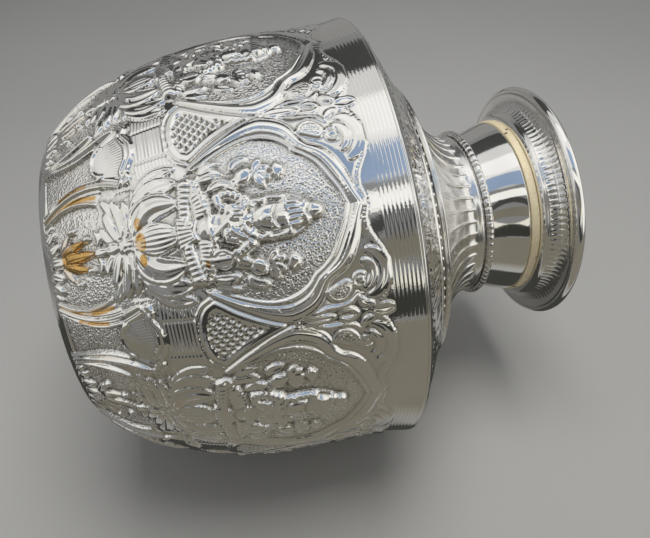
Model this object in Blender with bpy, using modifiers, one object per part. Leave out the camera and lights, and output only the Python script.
"""A raised silver water pot: a broad drum, a shallow shoulder, a fluted neck and a wired, flared mouth.

Every piece is a turned sheet that laps inside its neighbour, with a gap left for the solder.
The drum's side is embossed with eight panels, each a framed figure seated over a lotus.
Metres, +Z up. The pot stands on its flat base, with the origin at the centre of the base.
"""

import math

import bpy
from mathutils import Vector

MM = 0.001

# Sheet and joints
SHEET = 0.9 * MM
SOLDER_GAP = 0.3 * MM
SKIRT_DEPTH = 4.0 * MM
FOOT_LAP = 6.0 * MM
COLLAR_LAP = 6.0 * MM
MOUTH_LAP = 5.0 * MM

# Drum
BASE_RADIUS = 61.0 * MM
BELLY_RADIUS = 92.4 * MM
RIM_FLARE = 2.6 * MM
BODY_HEIGHT = 126.0 * MM
BAND_HEIGHT = 24.0 * MM
BELLY_POWER = 2.6

# Embossed panels. Places across are shares of half a panel, and places up of the side's length.
# The guide lines are the mesh's columns, as shares of the way from the panel's axis to its side line.
PANELS = 8
PANEL_TURN = math.radians(-5.3)
PANEL_ROWS = (1.0, 0.925, 0.88, 0.835, 0.79, 0.757, 0.716, 0.667, 0.626, 0.594, 0.552, 0.504, 0.465,
              0.428, 0.375, 0.335, 0.27, 0.205, 0.135, 0.07, 0.03, 0.0)
GUIDE_LINES = (0.0, 0.18, 0.32, 0.49, 0.86, 1.0)
SIDE_LINE = ((0.0, 0.83), (0.03, 0.68), (0.07, 0.64), (0.135, 0.68), (0.205, 0.73), (0.27, 0.66),
             (0.335, 0.56), (0.375, 0.62), (0.428, 0.64), (0.465, 0.54), (0.504, 0.68), (0.552, 0.76),
             (0.594, 0.82), (0.667, 0.84), (0.716, 0.77), (0.757, 0.62), (0.79, 0.50), (0.835, 0.42),
             (0.88, 0.60), (0.925, 0.78), (1.0, 0.83))

# Ridges along the side line: where each starts and ends, and its height
RIDGE_HALF_WIDTH = 0.07
SIDE_RIDGES = {
    "foot_wires": (0.04, 0.30, 0.8 * MM),
    "frame": (0.46, 0.86, 0.7 * MM),
}

# Raised forms: middle across, middle up, half width, half length, and height above the sheet
PANEL_FORMS = {
    "head": (0.0, 0.67, 0.165, 0.057, 3.0 * MM),
    "crown": (0.0, 0.714, 0.14, 0.056, 3.0 * MM),
    "finial": (0.0, 0.755, 0.07, 0.021, 2.0 * MM),
    "chest": (0.0, 0.591, 0.28, 0.045, 2.9 * MM),
    "waist": (0.0, 0.524, 0.18, 0.072, 2.3 * MM),
    "arms": (0.263, 0.537, 0.115, 0.05, 2.8 * MM),
    "hands": (0.36, 0.605, 0.07, 0.031, 1.6 * MM),
    "flowers": (0.40, 0.668, 0.08, 0.045, 0.9 * MM),
    "knees": (0.0, 0.465, 0.57, 0.044, 2.2 * MM),
    "lotus": (0.0, 0.377, 0.72, 0.07, 1.4 * MM),
    "leaves": (0.10, 0.287, 0.35, 0.037, 0.8 * MM),
    "fan": (0.0, 0.16, 0.30, 0.05, 0.8 * MM),
    "petals": (0.0, 0.052, 0.85, 0.027, 1.0 * MM),
}

# Shoulder
SHOULDER_RISE = 16.6 * MM
RING_SETBACK = 5.5 * MM
RING_WIDTH = 2.4 * MM
RING_HEIGHT = 0.9 * MM

# Fluted neck cone and its plain collar
FOOT_RADIUS = 66.0 * MM
NECK_RADIUS = 37.7 * MM
CONE_RISE = 25.0 * MM
CONE_POWER = 1.9
COLLAR_HEIGHT = 3.0 * MM
FLUTES = 46
FLUTE_DEPTH = 0.9 * MM

# Beaded wire
BEADS = 58
BEAD_RADIUS = 1.75 * MM
BEAD_WIRE_RADIUS = 1.05 * MM
BEAD_LEDGE = 1.6 * MM

# Neck tube and the brazed seam
TUBE_HEIGHT = 19.3 * MM
TUBE_FLARE = 5.5 * MM
TUBE_EASE = 1.25
SEAM_HEIGHT = 3.5 * MM
SEAM_PROUD = 0.35 * MM

# Mouth and its wired lip
STEP_HEIGHT = 2.0 * MM
STEP_FLARE = 3.2 * MM
GROOVE_WIDTH = 0.6 * MM
GROOVE_DEPTH = 0.45 * MM
FLARE_RISE = 6.0 * MM
FLARE_REACH = 8.4 * MM
LIP_RADIUS = 2.4 * MM
LIP_TURN = math.radians(300.0)

# Facets
BODY_SEGMENTS = 60
NECK_SEGMENTS = 32
FLUTE_SEGMENTS = 2
BEAD_SEGMENTS = 2
WIRE_SIDES = 6
CURVE_STEPS = 400
ROW_MATCH = 0.03 * MM

# Sizes that follow from the ones above
RIM_RADIUS = BELLY_RADIUS + RIM_FLARE
RING_RADIUS = FOOT_RADIUS + RING_SETBACK
CONE_WALL = SHEET + FLUTE_DEPTH
TUBE_RADIUS = NECK_RADIUS - BEAD_LEDGE
SPIGOT_RADIUS = NECK_RADIUS - CONE_WALL - SOLDER_GAP
PLATE_SEAT = BODY_HEIGHT + SOLDER_GAP
PLATE_EDGE = PLATE_SEAT + SHEET
FOOT_SLOPE = math.atan2(CONE_RISE, CONE_POWER * (FOOT_RADIUS - NECK_RADIUS))
FOOT_HEIGHT = PLATE_EDGE + SHOULDER_RISE + (CONE_WALL + SOLDER_GAP) * math.cos(FOOT_SLOPE)
CONE_TOP = FOOT_HEIGHT + CONE_RISE
COLLAR_TOP = CONE_TOP + COLLAR_HEIGHT
TUBE_FOOT = COLLAR_TOP + SOLDER_GAP


def steps(count):
    """Fractions from 0 to 1 in equal steps."""
    return [i / count for i in range(count + 1)]


def inward(line, index):
    """Mitred inward normal of a profile that runs down its outer side."""
    sides = []
    for a, b in ((index - 1, index), (index, index + 1)):
        if a >= 0 and b < len(line):
            run = (line[b] - line[a]).normalized()
            sides.append(Vector((run.y, -run.x)))
    total = sides[0] + sides[-1]
    return total * (2.0 / total.length_squared)


def offset(line, distance):
    """The profile moved inward by a distance."""
    return [point + inward(line, i) * distance for i, point in enumerate(line)]


def radius_at(line, height):
    """Radius of a profile at a height, between its points."""
    for a, b in zip(line, line[1:]):
        if min(a.y, b.y) <= height <= max(a.y, b.y) and a.y != b.y:
            return a.x + (b.x - a.x) * (height - a.y) / (b.y - a.y)
    return line[-1].x


def height_at(line, radius):
    """Height of a profile at a radius, between its points."""
    for a, b in zip(line, line[1:]):
        if min(a.x, b.x) <= radius <= max(a.x, b.x) and a.x != b.x:
            return a.y + (b.y - a.y) * (radius - a.x) / (b.x - a.x)
    return line[-1].y


def between(pairs, place):
    """Value at a place in a list of rising (place, value) pairs."""
    for (a, low), (b, high) in zip(pairs, pairs[1:]):
        if place <= b:
            return low + (high - low) * (place - a) / (b - a)
    return pairs[-1][1]


def every_other(line):
    """A coarser profile that keeps both ends."""
    return line[:-1:2] + [line[-1]]


def metal(name, colour, roughness):
    """A plain metal finish."""
    material = bpy.data.materials.new(name)
    material.use_nodes = True
    shader = material.node_tree.nodes["Principled BSDF"]
    shader.inputs["Base Color"].default_value = (*colour, 1.0)
    shader.inputs["Metallic"].default_value = 1.0
    shader.inputs["Roughness"].default_value = roughness
    return material


def turned(name, profile, segments, material, collection, closed=True):
    """A solid of revolution whose section is a list of (radius, height) points."""
    mesh = bpy.data.meshes.new(name)
    edges = [(i, i + 1) for i in range(len(profile) - 1)]
    if closed:
        edges.append((len(profile) - 1, 0))
    mesh.from_pydata([(p.x, 0.0, p.y) for p in profile], edges, [])
    mesh.materials.append(material)
    piece = bpy.data.objects.new(name, mesh)
    collection.objects.link(piece)
    screw = piece.modifiers.new("turn", "SCREW")
    screw.steps = segments
    screw.render_steps = segments
    screw.use_merge_vertices = True
    screw.merge_threshold = 0.00001
    screw.use_smooth_shade = True
    return piece


def made_solid(piece):
    """Replaces a piece's modifiers with the mesh that they make."""
    evaluated = piece.evaluated_get(bpy.context.evaluated_depsgraph_get())
    mesh = bpy.data.meshes.new_from_object(evaluated)
    piece.modifiers.clear()
    piece.data = mesh
    return mesh


def drum_radius(height):
    """Outer radius of the drum's sheet at a height."""
    belly_height = BODY_HEIGHT - BAND_HEIGHT
    if height > belly_height:
        return BELLY_RADIUS + RIM_FLARE * ((height - belly_height) / BAND_HEIGHT) ** 2
    narrowing = 1.0 - (BASE_RADIUS / BELLY_RADIUS) ** 2
    return BELLY_RADIUS * math.sqrt(1.0 - narrowing * (1.0 - height / belly_height) ** BELLY_POWER)


def drum_line():
    """Plain outer profile of the drum, from the rim down to the axis."""
    belly_height = BODY_HEIGHT - BAND_HEIGHT
    heights = [BODY_HEIGHT - BAND_HEIGHT * v for v in steps(4)]
    heights += [belly_height * (1.0 - math.sin(turn * math.pi / 2.0)) for turn in steps(8)[1:]]
    return [Vector((drum_radius(height), height)) for height in heights] + [Vector((0.0, 0.0))]


def panel_line():
    """Outer profile of the drum with a point at each of the panels' rows, from the rim to the base."""
    curve = [Vector((drum_radius(BODY_HEIGHT * v), BODY_HEIGHT * v)) for v in steps(CURVE_STEPS)]
    lengths = [0.0]
    for a, b in zip(curve, curve[1:]):
        lengths.append(lengths[-1] + (b - a).length)
    climb = [(length / lengths[-1], point.y) for length, point in zip(lengths, curve)]
    heights = [between(climb, row) for row in PANEL_ROWS]
    return [Vector((drum_radius(height), height)) for height in heights]


def panel_relief(across, up):
    """Height of the panel's raised forms above the sheet."""
    relief = 0.0
    for middle, level, half_width, half_length, height in PANEL_FORMS.values():
        away = ((across - middle) / half_width) ** 2 + ((up - level) / half_length) ** 2
        relief = max(relief, height * math.sqrt(max(0.0, 1.0 - away)))
    for start, end, height in SIDE_RIDGES.values():
        if start < up < end:
            away = abs(across - between(SIDE_LINE, up)) / RIDGE_HALF_WIDTH
            relief = max(relief, height * (1.0 - away))
    return relief


def drum_inside():
    """Inner profile of the drum, from the rim down to the axis."""
    line = offset(drum_line(), SHEET)
    line[0].y = BODY_HEIGHT
    line[-1].x = 0.0
    return every_other(line)


def cone_point(rise):
    """Point of the trumpet-shaped neck cone at a share of its rise."""
    radius = NECK_RADIUS + (FOOT_RADIUS - NECK_RADIUS) * (1.0 - rise) ** CONE_POWER
    return Vector((radius, FOOT_HEIGHT + CONE_RISE * rise))


def lap_rise():
    """Share of the cone's rise that laps over the shoulder plate."""
    left = (FOOT_RADIUS - FOOT_LAP - NECK_RADIUS) / (FOOT_RADIUS - NECK_RADIUS)
    return 1.0 - left ** (1.0 / CONE_POWER)


def foot_lap_line():
    """Outer profile of the cone where it laps over the plate, from its inner end to the foot."""
    return [cone_point(lap_rise() * (1.0 - v)) for v in steps(2)]


def neck_point(share):
    """Point of the neck's outer curve, which the tube, the seam and the mouth share.

    The curve flares and then eases off, to run nearly straight along the seam.
    """
    radius = TUBE_RADIUS + TUBE_FLARE * (1.0 - math.cos(math.pi * share / TUBE_EASE)) / 2.0
    return Vector((radius, TUBE_FOOT + TUBE_HEIGHT * share))


def make_body_bowl(material, collection):
    """The drum and its flat base, raised from one sheet, with the panels embossed in its side."""
    line = panel_line()
    profile = drum_inside()[::-1] + line + [Vector((0.0, 0.0))]
    half_columns = len(GUIDE_LINES)
    piece = turned("body_bowl", profile, 2 * half_columns * PANELS, material, collection, closed=False)
    for vertex in made_solid(piece).vertices:
        radius = math.hypot(vertex.co.x, vertex.co.y)
        angle = math.atan2(vertex.co.y, vertex.co.x)
        place = Vector((radius, vertex.co.z))
        row = min(range(len(line)), key=lambda i: (line[i] - place).length)
        if 0 < row < len(line) - 1 and (line[row] - place).length < ROW_MATCH:
            panel = round(angle * PANELS / math.tau)
            turn = angle * PANELS / math.pi - 2.0 * panel
            column = round(abs(turn) * half_columns)
            up = PANEL_ROWS[row]
            across = 1.0 if column == half_columns else GUIDE_LINES[column] * between(SIDE_LINE, up)
            angle = (2.0 * panel + math.copysign(across, turn)) * math.pi / PANELS
            place -= inward(line, row).normalized() * panel_relief(across, up)
        angle += PANEL_TURN
        vertex.co = (place.x * math.cos(angle), place.x * math.sin(angle), place.y)
    return piece


def make_shoulder_plate(material, collection):
    """The shallow cone over the drum, with a fine ring and a skirt inside the drum's rim."""
    lap = offset(foot_lap_line(), CONE_WALL + SOLDER_GAP)
    edge = Vector((RIM_RADIUS, PLATE_EDGE))
    slope = (edge - lap[-1]).normalized()
    outward = Vector((-slope.y, slope.x))
    ring_centre = lap[-1] + slope * ((RING_RADIUS - lap[-1].x) / slope.x)
    ring = []
    for across in steps(4):
        angle = math.pi * (1.0 - across)
        along = slope * (RING_WIDTH / 2.0 * math.cos(angle))
        ring.append(ring_centre + along + outward * (RING_HEIGHT * math.sin(angle)))
    under = offset(lap + [edge], SHEET)
    skirt = radius_at(drum_inside(), BODY_HEIGHT - SKIRT_DEPTH) - SOLDER_GAP
    skirt_bottom = BODY_HEIGHT - SKIRT_DEPTH
    profile = lap + ring + [edge, Vector((RIM_RADIUS, PLATE_SEAT))]
    profile += [Vector((skirt, PLATE_SEAT)), Vector((skirt, skirt_bottom))]
    profile += [Vector((skirt - SHEET, skirt_bottom))]
    profile += [Vector((skirt - SHEET, height_at(under, skirt - SHEET)))]
    profile += under[-2::-1]
    return turned("shoulder_plate", profile, BODY_SEGMENTS, material, collection)


def make_neck_cone(material, collection):
    """The trumpet with its flutes, and the plain collar at its top."""
    trumpet = [cone_point(1.0 - (1.0 - lap_rise()) * v) for v in steps(4)]
    outer = [Vector((NECK_RADIUS, COLLAR_TOP))] + trumpet[:-1] + foot_lap_line()
    inner = offset(outer, CONE_WALL)
    inner[0].y = COLLAR_TOP
    coarse = inner[:1] + inner[1:-3:2] + inner[-3:]
    piece = turned("neck_cone", outer + coarse[::-1], FLUTES * FLUTE_SEGMENTS, material, collection)
    mesh = made_solid(piece)
    for vertex in mesh.vertices:
        rise = (vertex.co.z - FOOT_HEIGHT) / CONE_RISE
        radius = math.hypot(vertex.co.x, vertex.co.y)
        if not lap_rise() / 4.0 < rise < 0.99 or abs(radius - cone_point(rise).x) > SOLDER_GAP / 10.0:
            continue
        angle = math.atan2(vertex.co.y, vertex.co.x)
        hollow = abs(math.sin(angle * FLUTES / 2.0)) * min(1.0, 4.0 * rise)
        vertex.co.x *= 1.0 - FLUTE_DEPTH * hollow / radius
        vertex.co.y *= 1.0 - FLUTE_DEPTH * hollow / radius
    return piece


def make_bead_ring(material, collection):
    """The beaded wire that sits on the collar, round the neck tube's root."""
    bpy.ops.mesh.primitive_torus_add(
        major_segments=BEADS * BEAD_SEGMENTS,
        minor_segments=WIRE_SIDES,
        major_radius=TUBE_RADIUS + SOLDER_GAP + BEAD_RADIUS,
        minor_radius=BEAD_RADIUS,
    )
    piece = bpy.context.object
    piece.name = "bead_ring"
    piece.data.name = "bead_ring"
    piece.data.materials.append(material)
    for old in piece.users_collection:
        old.objects.unlink(piece)
    collection.objects.link(piece)
    centre = TUBE_RADIUS + SOLDER_GAP + BEAD_RADIUS
    for vertex in piece.data.vertices:
        angle = math.atan2(vertex.co.y, vertex.co.x)
        axis = Vector((math.cos(angle), math.sin(angle), 0.0)) * centre
        swell = 0.5 + 0.5 * math.cos(angle * BEADS)
        size = BEAD_WIRE_RADIUS + (BEAD_RADIUS - BEAD_WIRE_RADIUS) * swell
        vertex.co = axis + (vertex.co - axis) * (size / BEAD_RADIUS)
    piece.location.z = COLLAR_TOP + SOLDER_GAP + BEAD_RADIUS
    piece.data.shade_smooth()
    return piece


def tube_line():
    """Outer profile of the neck tube above the collar, from top to bottom."""
    return [neck_point(1.0 - v) for v in steps(6)]


def make_neck_tube(material, collection):
    """The polished neck, with a spigot that drops inside the collar."""
    spigot_end = COLLAR_TOP - COLLAR_LAP
    outer = tube_line() + [Vector((SPIGOT_RADIUS, TUBE_FOOT)), Vector((SPIGOT_RADIUS, spigot_end))]
    inner = offset(outer, SHEET)
    return turned("neck_tube", outer + inner[::-1], NECK_SEGMENTS, material, collection)


def seam_shares():
    """Shares of the neck curve where the seam ring starts and ends."""
    start = 1.0 + SOLDER_GAP / TUBE_HEIGHT
    return start, start + SEAM_HEIGHT / TUBE_HEIGHT


def make_seam_ring(material, collection):
    """The band of yellow metal that closes the joint between neck and mouth."""
    start, end = seam_shares()
    line = [neck_point(end + (start - end) * v) for v in steps(2)]
    outer = offset(line, -SEAM_PROUD)
    inner = offset(line, SHEET)
    return turned("seam_ring", outer + inner[::-1], NECK_SEGMENTS, material, collection)


def lip_centre():
    """Centre of the wire that the lip is rolled round."""
    step_end = mouth_step_end()
    return step_end + Vector((FLARE_REACH, GROOVE_WIDTH + FLARE_RISE + LIP_RADIUS))


def mouth_start():
    """Lower end of the mouth's outer face, just above the seam ring."""
    return neck_point(seam_shares()[1] + SOLDER_GAP / TUBE_HEIGHT)


def mouth_step_end():
    """Upper end of the polished step, where the groove begins."""
    return mouth_start() + Vector((STEP_FLARE, STEP_HEIGHT))


def make_mouth_flare(material, collection):
    """The flared mouth: a spigot inside the neck, a step, a groove, a hollow flare and a rolled lip."""
    centre = lip_centre()
    roll = []
    for v in steps(8):
        angle = LIP_TURN - math.pi / 2.0 - LIP_TURN * v
        roll.append(centre + Vector((math.cos(angle), math.sin(angle))) * LIP_RADIUS)
    groove_top = mouth_step_end() + Vector((0.0, GROOVE_WIDTH))
    hollow = []
    for v in steps(3)[1:]:
        angle = math.pi / 2.0 * (1.0 - v)
        reach = Vector((FLARE_REACH * (1.0 - math.cos(angle)), FLARE_RISE * math.sin(angle)))
        hollow.append(groove_top + reach)
    groove = groove_top + Vector((-GROOVE_DEPTH, -GROOVE_WIDTH / 2.0))
    step = mouth_start().lerp(mouth_step_end(), 0.5) + Vector((STEP_FLARE, -STEP_HEIGHT)) * 0.15
    start = mouth_start()
    top = (start.y - TUBE_FOOT) / TUBE_HEIGHT
    low = 1.0 - MOUTH_LAP / TUBE_HEIGHT
    behind = offset([neck_point(top + (low - top) * v) for v in steps(3)], SHEET + SOLDER_GAP)
    outer = roll + hollow + [groove, mouth_step_end(), step, start] + behind
    inner = offset(roll + hollow[:-1] + [mouth_step_end(), start] + behind, SHEET)
    return turned("mouth_flare", outer + inner[::-1], NECK_SEGMENTS, material, collection)


def make_lip_wire(material, collection):
    """The round wire inside the rolled lip."""
    radius = LIP_RADIUS - SHEET - SOLDER_GAP
    ring = []
    for side in range(WIRE_SIDES):
        angle = -2.0 * math.pi * side / WIRE_SIDES
        ring.append(lip_centre() + Vector((math.cos(angle), math.sin(angle))) * radius)
    return turned("lip_wire", ring, NECK_SEGMENTS, material, collection)


def main():
    """Builds the pot."""
    for old in list(bpy.data.objects):
        bpy.data.objects.remove(old)
    pot = bpy.data.collections.new("water_pot")
    bpy.context.scene.collection.children.link(pot)
    silver = metal("polished_silver", (0.80, 0.79, 0.76), 0.12)
    chased = metal("chased_silver", (0.78, 0.77, 0.74), 0.18)
    brass = metal("yellow_braze", (0.78, 0.60, 0.31), 0.40)
    wire = metal("lip_wire_metal", (0.70, 0.69, 0.66), 0.35)
    make_body_bowl(chased, pot)
    make_shoulder_plate(chased, pot)
    make_neck_cone(silver, pot)
    make_bead_ring(silver, pot)
    make_neck_tube(silver, pot)
    make_seam_ring(brass, pot)
    make_mouth_flare(silver, pot)
    make_lip_wire(wire, pot)


main()
